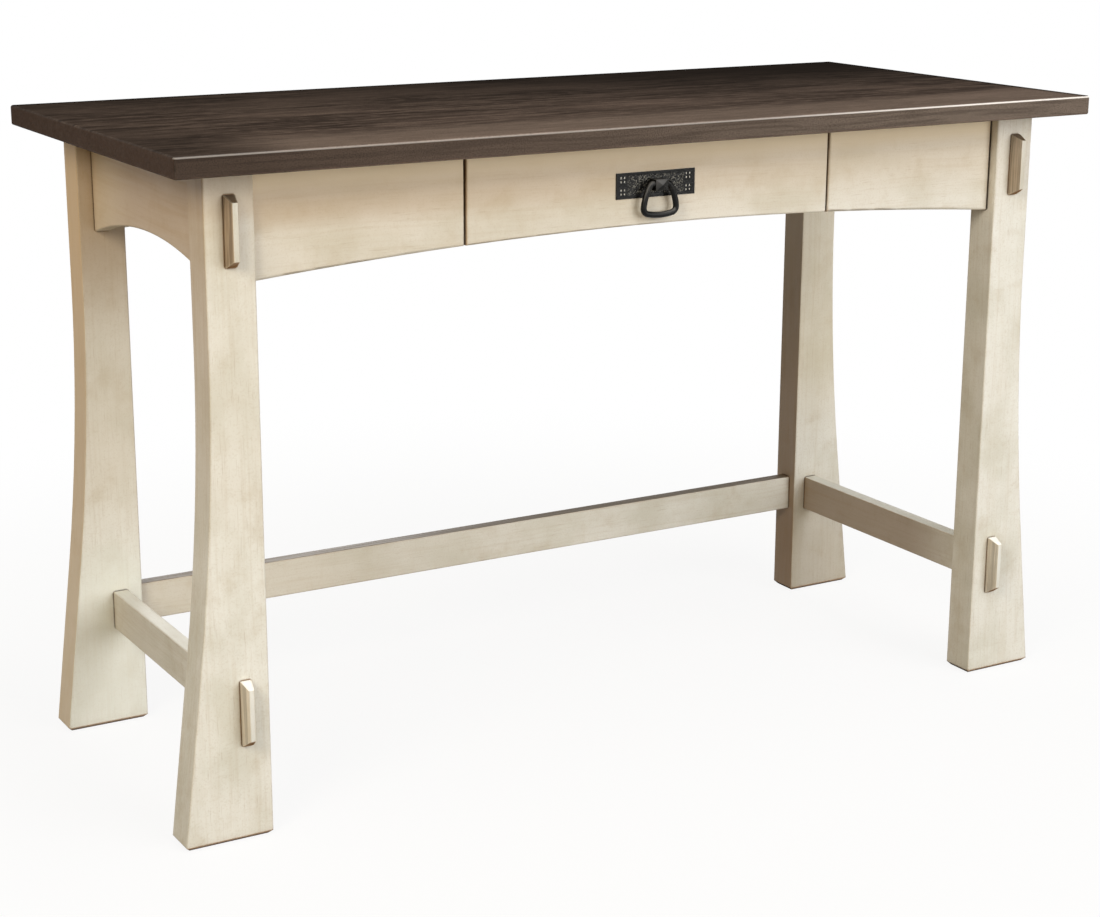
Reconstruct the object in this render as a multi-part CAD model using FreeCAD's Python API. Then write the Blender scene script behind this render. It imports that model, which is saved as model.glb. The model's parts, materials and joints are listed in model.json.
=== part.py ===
import FreeCAD, Part
import os
from math import cos, pi, radians, sin, tan

# A writing desk: a plank top on four flared legs, arched aprons, side and back stretchers and one
# dovetailed drawer on telescoping slides with a ring pull.
# Millimetres. +X is to the right, +Y to the back, +Z up. The origin is on the floor, under the
# middle of the top.

Vec = FreeCAD.Vector

# Top
top_width = 1219.2
top_depth = 539.7
top_thick = 23.3
desk_height = 772.3
top_corner_radius = 3.0
top_upper_round = 3.0
top_lower_chamfer = 1.2
side_overhang = 48.1
front_overhang = 50.0
back_overhang = 45.5

# Legs: the outer edge is upright, then curves out, then runs straight to the floor
leg_top_width = 56.5
leg_thick = 44.0
leg_splay = 7.12
leg_flare_start = 560.0
leg_taper_start = 210.0
leg_round = 2.0
foot_chamfer = 5.0

# Aprons and stretchers
rail_thick = 19.0
rail_round = 1.5
panel_round = 3.0
apron_chamfer = 1.2
front_apron_end_depth = 122.5
front_apron_rise = 22.5
side_apron_end_depth = 122.0
side_apron_rise = 26.0
stretcher_height = 48.4
stretcher_centre_height = 150.5

# Tenons that hold the rails in the legs
tenon_thick = 9.5
tenon_shoulder = 10.0
tenon_web = 3.5
side_tenon_length = 22.0
tenon_clearance = 0.1
tenon_end_gap = 1.0

# Tenon caps, plugged into the front faces of the front legs
cap_width = 12.7
cap_height = 76.0
cap_straight = 3.0
cap_taper_depth = 15.0
cap_side_taper = 3.2
cap_end_taper = 6.0
cap_stub = 8.0
upper_cap_drop = 64.2

# Rail behind the drawer front, and the bearers that carry the drawer slides
sub_rail_depth = 60.0
bearer_thick = 19.0
bearer_drop = 7.0
bearer_housing = 8.0

# Drawer
drawer_opening = 501.0
drawer_side_gap = 2.8
drawer_top_gap = 2.0
drawer_stop_gap = 0.4
drawer_front_round = 2.0
drawer_board = 12.7
drawer_box_rise = 15.5
drawer_box_top_clearance = 3.5
drawer_back_clearance = 26.0
drawer_bottom_thick = 6.0
drawer_bottom_rise = 9.0
groove_depth = 6.0
groove_clearance = 0.1
groove_end_gap = 0.5
tail_count = 3
tail_width = 13.0
tail_angle = 8.0

# Drawer slides: three nested steel channels on each side
slide_thick = 12.7
slide_height = 45.0
slide_wall = 1.2
slide_running_gap = 0.4
slide_flange = 9.5
slide_setback = 4.0
slide_back_setback = 2.0
slide_screw_inset = 40.0

# Steel clips and screws that hold the top
clip_thick = 1.5
clip_width = 20.0
clip_drop = 11.0
clip_tongue = 7.0
clip_flange = 22.0
clip_hole_offset = 14.0
clip_face_gap = 0.3
kerf_play = 1.5
back_clip_spacing = 350.0
sub_rail_screw_spacing = 250.0
bearer_screw_spacing = 30.0

# Screws, drawn with a few flat sides, and how far each kind bites into the wood beyond its joint
screw_sides = 6
screw_shank = 1.9
screw_head = 3.6
screw_head_height = 2.2
screw_clearance = 0.05
screw_hole_clearance = 0.3
top_screw_bite = 14.0
bearer_screw_bite = 22.0
slide_screw_bite = 9.0
front_screw_bite = 12.0
front_screw_spread = 150.0
front_screw_rise = 13.0

# Pull: pierced plate, post with a pyramid face, and a stirrup ring
plate_width = 107.5
plate_height = 30.0
plate_thick = 1.3
plate_chamfer = 0.4
plate_top_drop = 53.2
pierce_size = 2.4
pierce_pitch = 4.7
pierce_group_x = 89.5
pierce_group_z = 14.3
post_width = 16.5
post_height = 13.0
post_front_wall = 1.4
post_back_wall = 0.9
post_pyramid = 2.4
pivot_distance = 9.0
pivot_rise = 1.5
journal_radius = 2.6
journal_clearance = 0.05
journal_end_gap = 0.7
ring_bar_radius = 3.6
ring_bar_sides = 12
ring_shoulder_radius = 6.0
ring_shoulder_angle = 58.0
ring_arm_radius = 55.0
ring_arm_angle = 85.0
ring_corner_radius = 7.0
ring_bow_angle = 12.0
bolt_radius = 2.0
bolt_end_gap = 0.5

# Widest cut beyond a face, so that a cutter passes clean through it
overcut = 1.0
# How close an edge has to lie to a plane to be picked for rounding
pick_tolerance = 0.01

# Places worked out from the sizes above
under_top = desk_height - top_thick
leg_outer = top_width / 2 - side_overhang
leg_inner = leg_outer - leg_top_width
front_leg_front = -top_depth / 2 + front_overhang
front_leg_back = front_leg_front + leg_thick
back_leg_back = top_depth / 2 - back_overhang
back_leg_front = back_leg_back - leg_thick
side_rail_x = leg_inner + leg_top_width / 2
side_rail_inner = side_rail_x - rail_thick / 2
front_rail_y = (front_leg_front + front_leg_back) / 2
back_rail_y = (back_leg_front + back_leg_back) / 2
front_face = front_rail_y - rail_thick / 2
front_back = front_rail_y + rail_thick / 2
back_apron_inner = back_rail_y - rail_thick / 2
front_apron_end = under_top - front_apron_end_depth
side_apron_end = under_top - side_apron_end_depth
stretcher_bottom = stretcher_centre_height - stretcher_height / 2
stretcher_top = stretcher_centre_height + stretcher_height / 2
rail_tenon_length = (leg_top_width - tenon_thick) / 2 - tenon_web
upper_cap_height = under_top - upper_cap_drop
opening_half = drawer_opening / 2
sub_rail_bottom = under_top - rail_thick
drawer_front_back = front_back - drawer_stop_gap
box_half = opening_half - slide_thick
box_front_y = drawer_front_back
box_back_y = back_apron_inner - drawer_back_clearance
box_bottom = front_apron_end + front_apron_rise + drawer_box_rise
box_top = sub_rail_bottom - drawer_box_top_clearance
box_middle = (box_bottom + box_top) / 2
slide_start = front_back + slide_setback
slide_end = box_back_y - slide_back_setback
pull_height = under_top - plate_top_drop
plate_face = front_face - plate_thick
post_depth = pivot_distance + journal_radius + post_front_wall
bolt_hole_depth = pivot_distance - journal_radius - post_back_wall
pivot_y = plate_face - pivot_distance
pivot_z = pull_height + pivot_rise
drawer_middle_y = (box_front_y + box_back_y) / 2


# General helpers
def block(box):
    """Rectangular solid from its limits (x0, x1, y0, y1, z0, z1)."""
    x0, x1, y0, y1, z0, z1 = box
    return Part.makeBox(x1 - x0, y1 - y0, z1 - z0, Vec(x0, y0, z0))


def grown(box, dx, dy, dz):
    """The same limits moved out by dx, dy and dz on both sides."""
    x0, x1, y0, y1, z0, z1 = box
    return (x0 - dx, x1 + dx, y0 - dy, y1 + dy, z0 - dz, z1 + dz)


def prism(points, along):
    """Solid with a straight-sided outline, drawn out along a vector."""
    return Part.Face(Part.makePolygon(points + points[:1])).extrude(along)


def mirrored(shape):
    """The left-hand twin of a right-hand piece."""
    return shape.mirror(Vec(0, 0, 0), Vec(1, 0, 0))


def rounded(shape, radius, wanted):
    """Round off every edge whose bounding box the wanted test accepts."""
    return shape.makeFillet(radius, [edge for edge in shape.Edges if wanted(edge.BoundBox)])


def chamfered(shape, size, wanted):
    """Chamfer every edge whose bounding box the wanted test accepts."""
    return shape.makeChamfer(size, [edge for edge in shape.Edges if wanted(edge.BoundBox)])


def near(value, target):
    return abs(value - target) < pick_tolerance


def flat_face(corners):
    return Part.Face(Part.makePolygon(corners + corners[:1]))


def faceted(profile):
    """Solid about Z with screw_sides flat sides, from (radius, z) pairs that run downwards."""
    turns = [2 * pi * side / screw_sides for side in range(screw_sides)]
    rings = [[Vec(radius * cos(turn), radius * sin(turn), z) for turn in turns] for radius, z in profile]
    faces = [flat_face(rings[0]), flat_face(rings[-1])]
    for upper, lower in zip(rings, rings[1:]):
        for side in range(screw_sides):
            faces.append(flat_face([upper[side - 1], upper[side], lower[side], lower[side - 1]]))
    return closed(faces)


def closed(faces):
    """Solid inside a set of faces, turned right side out."""
    solid = Part.makeSolid(Part.makeShell(faces))
    if solid.Volume < 0:
        solid.reverse()
    return solid


def aimed(shape, place, direction):
    """Move a piece that points along -Z so that it points along direction from place."""
    moved = shape.copy()
    moved.Placement = FreeCAD.Placement(place, FreeCAD.Rotation(Vec(0, 0, -1), direction))
    return moved


def flush_screw(length, grow=0.0):
    """Countersunk screw with its head flush at the origin; grow widens it into its hole."""
    shank = screw_shank + grow
    head = screw_head + grow
    cone = screw_head - screw_shank
    return faceted([(head, 0), (shank, -cone), (shank, -length - grow)])


def pan_screw(length, shank, grow=0.0):
    """Flat-headed screw whose head bears at the origin; grow widens the shank into its hole."""
    radius = shank + grow
    return faceted([(screw_head, screw_head_height), (screw_head, 0), (radius, 0), (radius, -length - grow)])


def screw_hole(radius, place, direction, length):
    """Clearance hole with the same flat sides as the screws."""
    return aimed(faceted([(radius, 0), (radius, -length)]), place, direction)


def rod(radius, place, direction, length):
    return Part.makeCylinder(radius, length, place, direction)


# Joints that both halves share
def tenon_across(y, z0, z1):
    """Tenon on the right-hand end of a rail that runs along X."""
    half = tenon_thick / 2
    return (leg_inner, leg_inner + rail_tenon_length, y - half, y + half, z0, z1)


def tenons_along(z0, z1):
    """Front and back tenons of a side rail that runs along Y."""
    x0 = side_rail_x - tenon_thick / 2
    x1 = side_rail_x + tenon_thick / 2
    front = (x0, x1, front_leg_back - side_tenon_length, front_leg_back, z0, z1)
    back = (x0, x1, back_leg_front, back_leg_front + side_tenon_length, z0, z1)
    return front, back


front_tenon = tenon_across(front_rail_y, front_apron_end + tenon_shoulder, under_top - tenon_shoulder)
back_tenon = tenon_across(back_rail_y, front_apron_end + tenon_shoulder, under_top - tenon_shoulder)
stretcher_tenon_low = stretcher_bottom + tenon_shoulder
stretcher_tenon_high = stretcher_top - tenon_shoulder
stretcher_tenon = tenon_across(back_rail_y, stretcher_tenon_low, stretcher_tenon_high)
side_apron_tenons = tenons_along(side_apron_end + tenon_shoulder, under_top - tenon_shoulder)
side_stretcher_tenons = tenons_along(stretcher_tenon_low, stretcher_tenon_high)
cap_places = {"upper": upper_cap_height, "lower": stretcher_centre_height}


def mortise_across(tenon):
    return block(grown(tenon, tenon_end_gap, tenon_clearance, tenon_clearance))


def mortise_along(tenon):
    return block(grown(tenon, tenon_clearance, tenon_end_gap, tenon_clearance))


def cap_stub_box(height):
    half = cap_width / 2
    return (side_rail_x - half, side_rail_x + half, front_leg_front, front_leg_front + cap_stub,
            height - cap_height / 2, height + cap_height / 2)


def bearer_box():
    return (opening_half, opening_half + bearer_thick, front_back, back_apron_inner + bearer_housing,
            box_bottom - bearer_drop, sub_rail_bottom)


# Legs
def leg_blank(front):
    """Right-hand leg with its flared outer edge, eased arrises and chamfered foot."""
    angle = radians(leg_splay)
    flare_radius = (leg_flare_start - leg_taper_start) / sin(angle)

    def on_flare(turn):
        x = leg_outer + flare_radius * (1 - cos(turn))
        return Vec(x, front, leg_flare_start - flare_radius * sin(turn))

    taper_top = on_flare(angle)
    foot_x = taper_top.x + leg_taper_start * tan(angle)
    foot_inner = Vec(leg_inner, front, 0)
    foot_outer = Vec(foot_x, front, 0)
    head_outer = Vec(leg_outer, front, under_top)
    head_inner = Vec(leg_inner, front, under_top)
    flare_top = on_flare(0)
    edges = [
        Part.LineSegment(foot_inner, foot_outer).toShape(),
        Part.LineSegment(foot_outer, taper_top).toShape(),
        Part.Arc(taper_top, on_flare(angle / 2), flare_top).toShape(),
        Part.LineSegment(flare_top, head_outer).toShape(),
        Part.LineSegment(head_outer, head_inner).toShape(),
        Part.LineSegment(head_inner, foot_inner).toShape(),
    ]
    leg = Part.Face(Part.Wire(edges)).extrude(Vec(0, leg_thick, 0))
    leg = rounded(leg, leg_round, lambda box: near(box.YLength, 0) and box.ZLength > foot_chamfer)
    for wedge in foot_wedges(front, foot_x, angle):
        leg = leg.cut(wedge)
    return leg


def foot_wedges(front, foot_x, angle):
    """Wedges that chamfer the four lower edges of a foot."""
    back = front + leg_thick
    wide = foot_x - leg_inner + 2 * overcut
    deep = leg_thick + 2 * overcut
    reach = foot_chamfer + overcut

    def across_y(face, inward):
        outer = face - inward * overcut
        low = Vec(leg_inner - overcut, outer, -overcut)
        far = Vec(leg_inner - overcut, face + inward * reach, -overcut)
        high = Vec(leg_inner - overcut, outer, reach)
        return prism([low, far, high], Vec(wide, 0, 0))

    def across_x(face, inward):
        outer = face - inward * overcut
        low = Vec(outer, front - overcut, -overcut)
        far = Vec(face + inward * reach, front - overcut, -overcut)
        high = Vec(outer, front - overcut, reach)
        return prism([low, far, high], Vec(0, deep, 0))

    outer_face = foot_x - foot_chamfer * tan(angle)
    return [across_y(front, 1), across_y(back, -1), across_x(leg_inner, 1), across_x(outer_face, -1)]


def front_leg():
    leg = leg_blank(front_leg_front).cut(mortise_across(front_tenon))
    for tenon in (side_apron_tenons[0], side_stretcher_tenons[0]):
        leg = leg.cut(mortise_along(tenon))
    for height in cap_places.values():
        leg = leg.cut(block(grown(cap_stub_box(height), tenon_clearance, tenon_end_gap, tenon_clearance)))
    return leg


def back_leg():
    leg = leg_blank(back_leg_front)
    for tenon in (back_tenon, stretcher_tenon):
        leg = leg.cut(mortise_across(tenon))
    for tenon in (side_apron_tenons[1], side_stretcher_tenons[1]):
        leg = leg.cut(mortise_along(tenon))
    return leg


def tenon_cap(height):
    """Plug with a stub in the leg and a proud end that tapers on all four sides."""
    half_width = cap_width / 2
    half_height = cap_height / 2
    shoulder = front_leg_front - cap_straight

    shank = block((side_rail_x - half_width, side_rail_x + half_width, shoulder, front_leg_front + cap_stub,
                   height - half_height, height + half_height))
    face_x = half_width - cap_side_taper
    face_z = half_height - cap_end_taper
    end = Part.makeWedge(-face_x, -cap_taper_depth, -face_z, -half_height, -half_width,
                         face_x, 0, face_z, half_height, half_width)
    end.translate(Vec(side_rail_x, shoulder, height))
    return shank.fuse(end).removeSplitter()


# Aprons and stretchers
def arched_board_across(front, thick):
    """Board between the legs along X, its lower edge one shallow arc."""
    left = Vec(-leg_inner, front, front_apron_end)
    right = Vec(leg_inner, front, front_apron_end)
    crown = Vec(0, front, front_apron_end + front_apron_rise)
    top_left = Vec(-leg_inner, front, under_top)
    top_right = Vec(leg_inner, front, under_top)
    edges = [
        Part.Arc(left, crown, right).toShape(),
        Part.LineSegment(right, top_right).toShape(),
        Part.LineSegment(top_right, top_left).toShape(),
        Part.LineSegment(top_left, left).toShape(),
    ]
    return Part.Face(Part.Wire(edges)).extrude(Vec(0, thick, 0))


def front_panel():
    """Fixed panel between the drawer and the right leg, with its tenon."""
    span = (opening_half, leg_inner, front_face - overcut, front_back + overcut, 0, desk_height)
    panel = arched_board_across(front_face, rail_thick).common(block(span))

    def front_edge(box):
        return near(box.YMax, front_face) and not near(box.ZMin, under_top)

    return rounded(panel, panel_round, front_edge).fuse(block(front_tenon))


def back_apron():
    """Arched apron across the back, tenoned at both ends and housed for the bearers and clips."""
    apron = arched_board_across(back_apron_inner, rail_thick)

    def lower(box):
        return near(box.YLength, 0) and box.ZMax < under_top - overcut

    apron = chamfered(apron, apron_chamfer, lower)
    apron = apron.fuse(block(back_tenon)).fuse(mirrored(block(back_tenon)))
    housing = block(grown(bearer_box(), tenon_clearance, tenon_clearance, tenon_clearance))
    apron = apron.cut(housing).cut(mirrored(housing))
    for place, turn in back_clip_places():
        apron = apron.cut(clip_kerf(place, turn))
    return apron


def side_apron():
    """Right-hand apron between front and back leg, with a deeper arch."""
    outer = side_rail_x - rail_thick / 2
    middle = (front_leg_back + back_leg_front) / 2
    near_end = Vec(outer, front_leg_back, side_apron_end)
    far_end = Vec(outer, back_leg_front, side_apron_end)
    crown = Vec(outer, middle, side_apron_end + side_apron_rise)
    near_top = Vec(outer, front_leg_back, under_top)
    far_top = Vec(outer, back_leg_front, under_top)
    edges = [
        Part.Arc(near_end, crown, far_end).toShape(),
        Part.LineSegment(far_end, far_top).toShape(),
        Part.LineSegment(far_top, near_top).toShape(),
        Part.LineSegment(near_top, near_end).toShape(),
    ]
    apron = Part.Face(Part.Wire(edges)).extrude(Vec(rail_thick, 0, 0))

    def lower(box):
        return near(box.XLength, 0) and box.ZMax < under_top - overcut

    apron = chamfered(apron, apron_chamfer, lower)
    for tenon in side_apron_tenons:
        apron = apron.fuse(block(tenon))
    for place, turn in side_clip_places():
        apron = apron.cut(clip_kerf(place, turn))
    return apron


def side_stretcher():
    half = rail_thick / 2
    bar = block((side_rail_x - half, side_rail_x + half, front_leg_back, back_leg_front,
                 stretcher_bottom, stretcher_top))
    bar = rounded(bar, rail_round, lambda box: box.YLength > overcut)
    for tenon in side_stretcher_tenons:
        bar = bar.fuse(block(tenon))
    return bar


def back_stretcher():
    bar = block((-leg_inner, leg_inner, back_apron_inner, back_apron_inner + rail_thick,
                 stretcher_bottom, stretcher_top))
    bar = rounded(bar, rail_round, lambda box: box.XLength > overcut)
    return bar.fuse(block(stretcher_tenon)).fuse(mirrored(block(stretcher_tenon)))


# Top and what holds it
def desk_top():
    half_width = top_width / 2
    half_depth = top_depth / 2
    slab = block((-half_width, half_width, -half_depth, half_depth, under_top, desk_height))
    slab = rounded(slab, top_corner_radius, lambda box: box.ZLength > overcut)
    slab = rounded(slab, top_upper_round, lambda box: near(box.ZMin, desk_height))
    slab = chamfered(slab, top_lower_chamfer, lambda box: near(box.ZMax, under_top))
    for screw in top_screw_holes():
        slab = slab.cut(screw)
    return slab


def back_clip_places():
    turn = -90
    return [(Vec(step * back_clip_spacing, back_apron_inner, under_top), turn) for step in (-1, 0, 1)]


def side_clip_places():
    middle = (front_leg_back + back_leg_front) / 2
    turn = 180
    return [(Vec(side_rail_inner, middle, under_top), turn)]


def clip_frame(shape, place, turn):
    moved = shape.copy()
    moved.Placement = FreeCAD.Placement(place, FreeCAD.Rotation(Vec(0, 0, 1), turn))
    return moved


def clip_profile():
    """Bent strip: a tongue in the apron's kerf, a web up its face and a flange under the top."""
    web = clip_face_gap + clip_thick
    low = -clip_drop - clip_thick
    outline = [(clip_face_gap, 0), (clip_flange, 0), (clip_flange, -clip_thick), (web, -clip_thick),
               (web, low), (-clip_tongue, low), (-clip_tongue, -clip_drop), (clip_face_gap, -clip_drop)]
    points = [Vec(x, -clip_width / 2, z) for x, z in outline]
    strip = prism(points, Vec(0, clip_width, 0))
    start = Vec(clip_hole_offset, 0, -clip_thick - overcut)
    passage = clip_thick + 2 * overcut
    return strip.cut(screw_hole(screw_shank + screw_hole_clearance, start, Vec(0, 0, 1), passage))


def clip_kerf(place, turn):
    half = clip_width / 2 + kerf_play
    box = (-clip_tongue - kerf_play, overcut, -half, half, -clip_drop - clip_thick - kerf_play, -clip_drop)
    return clip_frame(block(box), place, turn)


def clip_screw(place, turn, grow=0.0):
    screw = pan_screw(top_screw_bite + clip_thick, screw_shank, grow)
    upright = aimed(screw, Vec(clip_hole_offset, 0, -clip_thick), Vec(0, 0, 1))
    base = FreeCAD.Placement(place, FreeCAD.Rotation(Vec(0, 0, 1), turn))
    upright.Placement = base.multiply(upright.Placement)
    return upright


def with_twins(shapes):
    return shapes + [mirrored(shape) for shape in shapes]


def top_clips():
    back = [clip_frame(clip_profile(), place, turn) for place, turn in back_clip_places()]
    sides = [clip_frame(clip_profile(), place, turn) for place, turn in side_clip_places()]
    return back + with_twins(sides)


def top_clip_screws(grow=0.0):
    back = [clip_screw(place, turn, grow) for place, turn in back_clip_places()]
    sides = [clip_screw(place, turn, grow) for place, turn in side_clip_places()]
    return back + with_twins(sides)


def sub_rail_screws(grow=0.0):
    """Screws up through the rail behind the drawer front into the top."""
    length = rail_thick + top_screw_bite
    y = front_back + sub_rail_depth / 2
    places = [Vec(sub_rail_screw_spacing * step, y, sub_rail_bottom) for step in (0.5, 1.5)]
    return with_twins([aimed(flush_screw(length, grow), place, Vec(0, 0, 1)) for place in places])


def top_screw_holes():
    return top_clip_screws(screw_clearance) + sub_rail_screws(screw_clearance)


def bearer_screws(grow=0.0):
    """Screws down through the same rail into the bearers' top edges."""
    length = rail_thick + bearer_screw_bite
    x = opening_half + bearer_thick / 2
    middle = front_back + sub_rail_depth / 2
    places = [Vec(x, middle + step * bearer_screw_spacing / 2, under_top) for step in (-1, 1)]
    return with_twins([aimed(flush_screw(length, grow), place, Vec(0, 0, -1)) for place in places])


def sub_rail():
    """Flat rail behind the drawer front, notched round the front legs."""
    rail = block((-side_rail_inner, side_rail_inner, front_back, front_back + sub_rail_depth,
                  sub_rail_bottom, under_top))
    notch = block((leg_inner, side_rail_inner + overcut, front_back - overcut, front_leg_back,
                   sub_rail_bottom - overcut, under_top + overcut))
    rail = rail.cut(notch).cut(mirrored(notch))
    for cutter in sub_rail_screws(screw_clearance) + bearer_screws(screw_clearance):
        rail = rail.cut(cutter)
    return rail


def drawer_bearer():
    bearer = block(bearer_box())
    for cutter in bearer_screws(screw_clearance) + cabinet_slide_screws(screw_clearance):
        bearer = bearer.cut(cutter)
    return bearer


# Drawer slides
def slide_inset(layer):
    """How far a slide member's outer face lies inside the first member's, per nesting layer."""
    return layer * (slide_wall + slide_running_gap)


def channel(web, flange_end, half_height):
    """Channel along Y from the X of its web's outer face to the X of its flange ends."""
    inward = slide_wall if flange_end > web else -slide_wall
    inner = half_height - slide_wall
    outline = [(web, -half_height), (flange_end, -half_height), (flange_end, -inner), (web + inward, -inner),
               (web + inward, inner), (flange_end, inner), (flange_end, half_height), (web, half_height)]
    points = [Vec(x, slide_start, box_middle + z) for x, z in outline]
    return prism(points, Vec(0, slide_end - slide_start, 0))


def slide_cabinet_member():
    member = channel(opening_half, opening_half - slide_flange, slide_height / 2)
    for cutter in cabinet_slide_screws(screw_clearance):
        member = member.cut(cutter)
    return member


def slide_middle_member():
    web = opening_half - slide_inset(1)
    flange_end = box_half + slide_wall + slide_running_gap
    return channel(web, flange_end, slide_height / 2 - slide_inset(1))


def slide_drawer_member():
    flange_end = opening_half - slide_inset(2) - slide_running_gap
    member = channel(box_half, flange_end, slide_height / 2 - slide_inset(2))
    for cutter in drawer_slide_screws(screw_clearance):
        member = member.cut(cutter)
    return member


def slide_screw_rows():
    return (slide_start + slide_screw_inset, slide_end - slide_screw_inset)


def cabinet_slide_screws(grow=0.0):
    screw = flush_screw(slide_wall + slide_screw_bite, grow)
    x = opening_half - slide_wall
    return [aimed(screw, Vec(x, y, box_middle), Vec(1, 0, 0)) for y in slide_screw_rows()]


def drawer_slide_screws(grow=0.0):
    screw = flush_screw(slide_wall + slide_screw_bite, grow)
    x = box_half + slide_wall
    return [aimed(screw, Vec(x, y, box_middle), Vec(-1, 0, 0)) for y in slide_screw_rows()]


# Drawer
def drawer_front():
    """Middle of the arched front, cut free with an even gap, its face edges eased."""
    half = opening_half - drawer_side_gap
    span = (-half, half, front_face - overcut, drawer_front_back, 0, under_top - drawer_top_gap)
    front = arched_board_across(front_face, rail_thick).common(block(span))
    front = rounded(front, drawer_front_round, lambda box: near(box.YMax, front_face))
    for cutter in drawer_front_screws(screw_clearance) + [pull_bolt_hole()]:
        front = front.cut(cutter)
    return front


def tails(end, base):
    """Dovetails of the right-hand side, wide at its end and narrow at the base line."""
    pitch = (box_top - box_bottom) / tail_count
    wide = tail_width / 2
    narrow = wide - drawer_board * tan(radians(tail_angle))
    inner = box_half - drawer_board
    prisms = []
    for index in range(tail_count):
        middle = box_bottom + pitch * (index + 0.5)
        points = [Vec(inner, end, middle - wide), Vec(inner, end, middle + wide),
                  Vec(inner, base, middle + narrow), Vec(inner, base, middle - narrow)]
        prisms.append(prism(points, Vec(drawer_board, 0, 0)))
    return prisms


def drawer_side():
    """Right-hand side with dovetails at both ends and a groove for the bottom."""
    inner = box_half - drawer_board
    side = block((inner, box_half, box_front_y, box_back_y, box_bottom, box_top))
    for end, base in ((box_front_y, box_front_y + drawer_board), (box_back_y, box_back_y - drawer_board)):
        corner = block((inner, box_half, min(end, base), max(end, base), box_bottom, box_top))
        for tail in tails(end, base):
            corner = corner.cut(tail)
        side = side.cut(corner)
    for cutter in drawer_slide_screws(screw_clearance):
        side = side.cut(cutter)
    return side.cut(bottom_groove())


def drawer_end(start, end, base):
    """Front or back of the drawer box, with sockets for the sides' tails."""
    board = block((-box_half, box_half, start, start + drawer_board, box_bottom, box_top))
    for tail in with_twins(tails(end, base)):
        board = board.cut(tail)
    return board.cut(bottom_groove())


def drawer_box_front():
    board = drawer_end(box_front_y, box_front_y, box_front_y + drawer_board)
    for cutter in drawer_front_screws(screw_clearance) + [pull_bolt_hole()]:
        board = board.cut(cutter)
    return board


def drawer_back():
    return drawer_end(box_back_y - drawer_board, box_back_y, box_back_y - drawer_board)


def bottom_box():
    reach = groove_depth - drawer_board - groove_end_gap
    half = box_half + reach
    low = box_bottom + drawer_bottom_rise
    return (-half, half, box_front_y - reach, box_back_y + reach, low, low + drawer_bottom_thick)


def bottom_groove():
    return block(grown(bottom_box(), groove_end_gap, groove_end_gap, groove_clearance))


def drawer_bottom():
    return block(bottom_box())


def drawer_front_screws(grow=0.0):
    """Screws from inside the box front into the back of the drawer front."""
    screw = flush_screw(drawer_board + front_screw_bite, grow)
    y = box_front_y + drawer_board
    middle = (bottom_box()[5] + box_top) / 2
    places = [Vec(front_screw_spread, y, middle + step * front_screw_rise) for step in (-1, 1)]
    return with_twins([aimed(screw, place, Vec(0, -1, 0)) for place in places])


# Pull
def pull_bolt_length():
    return box_front_y + drawer_board - plate_face + bolt_hole_depth - bolt_end_gap


def pull_bolt():
    place = Vec(0, box_front_y + drawer_board, pull_height)
    return aimed(pan_screw(pull_bolt_length(), bolt_radius), place, Vec(0, -1, 0))


def pull_bolt_hole():
    start = Vec(0, box_front_y + drawer_board + overcut, pull_height)
    length = box_front_y + drawer_board - plate_face + 2 * overcut
    return screw_hole(bolt_radius + screw_hole_clearance, start, Vec(0, -1, 0), length)


def pull_plate():
    """Back plate with four groups of four square piercings."""
    half_width = plate_width / 2
    half_height = plate_height / 2
    plate = block((-half_width, half_width, plate_face, front_face,
                   pull_height - half_height, pull_height + half_height))
    plate = chamfered(plate, plate_chamfer, lambda box: near(box.YMax, plate_face))
    for x in pierce_steps(pierce_group_x):
        for z in pierce_steps(pierce_group_z):
            half = pierce_size / 2
            middle = pull_height + z
            plate = plate.cut(block((x - half, x + half, plate_face - overcut, front_face + overcut,
                                     middle - half, middle + half)))
    return plate.cut(pull_bolt_hole())


def pierce_steps(group):
    """Offsets of a row of piercings: a pair on each side of the middle."""
    return [side * group / 2 + step * pierce_pitch / 2 for side in (-1, 1) for step in (-1, 1)]


def pull_post():
    """Square post with a low pyramid face, bored across for the ring and tapped for the bolt."""
    half_width = post_width / 2
    half_height = post_height / 2
    front = plate_face - post_depth
    low = pull_height - half_height
    high = pull_height + half_height
    post = block((-half_width, half_width, front, plate_face, low, high))
    corners = [Vec(-half_width, front, low), Vec(half_width, front, low),
               Vec(half_width, front, high), Vec(-half_width, front, high)]
    apex = Vec(0, front - post_pyramid, pull_height)
    slopes = [flat_face([corners[side - 1], corners[side], apex]) for side in range(4)]
    post = post.fuse(closed([flat_face(corners)] + slopes))
    bore_start = Vec(-half_width - overcut, pivot_y, pivot_z)
    bore_length = post_width + 2 * overcut
    post = post.cut(rod(journal_radius + journal_clearance, bore_start, Vec(1, 0, 0), bore_length))
    bolt_start = Vec(0, plate_face, pull_height)
    return post.cut(screw_hole(bolt_radius + screw_clearance, bolt_start, Vec(0, -1, 0), bolt_hole_depth))


def ring_bend(x, z, heading, radius, angle):
    """One bend of the ring's bar, and where its middle line ends; headings turn from +X down to -Z."""
    begin = radians(heading)
    finish = radians(heading + angle)
    centre = Vec(x - radius * sin(begin), pivot_y, z - radius * cos(begin))
    section = []
    for side in range(ring_bar_sides):
        turn = 2 * pi * (side + 0.5) / ring_bar_sides
        outward = ring_bar_radius * cos(turn)
        forward = ring_bar_radius * sin(turn)
        section.append(Vec(x + outward * sin(begin), pivot_y + forward, z + outward * cos(begin)))
    bend = flat_face(section).revolve(centre, Vec(0, 1, 0), angle)
    return bend, centre.x + radius * sin(finish), centre.z + radius * cos(finish), heading + angle


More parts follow.
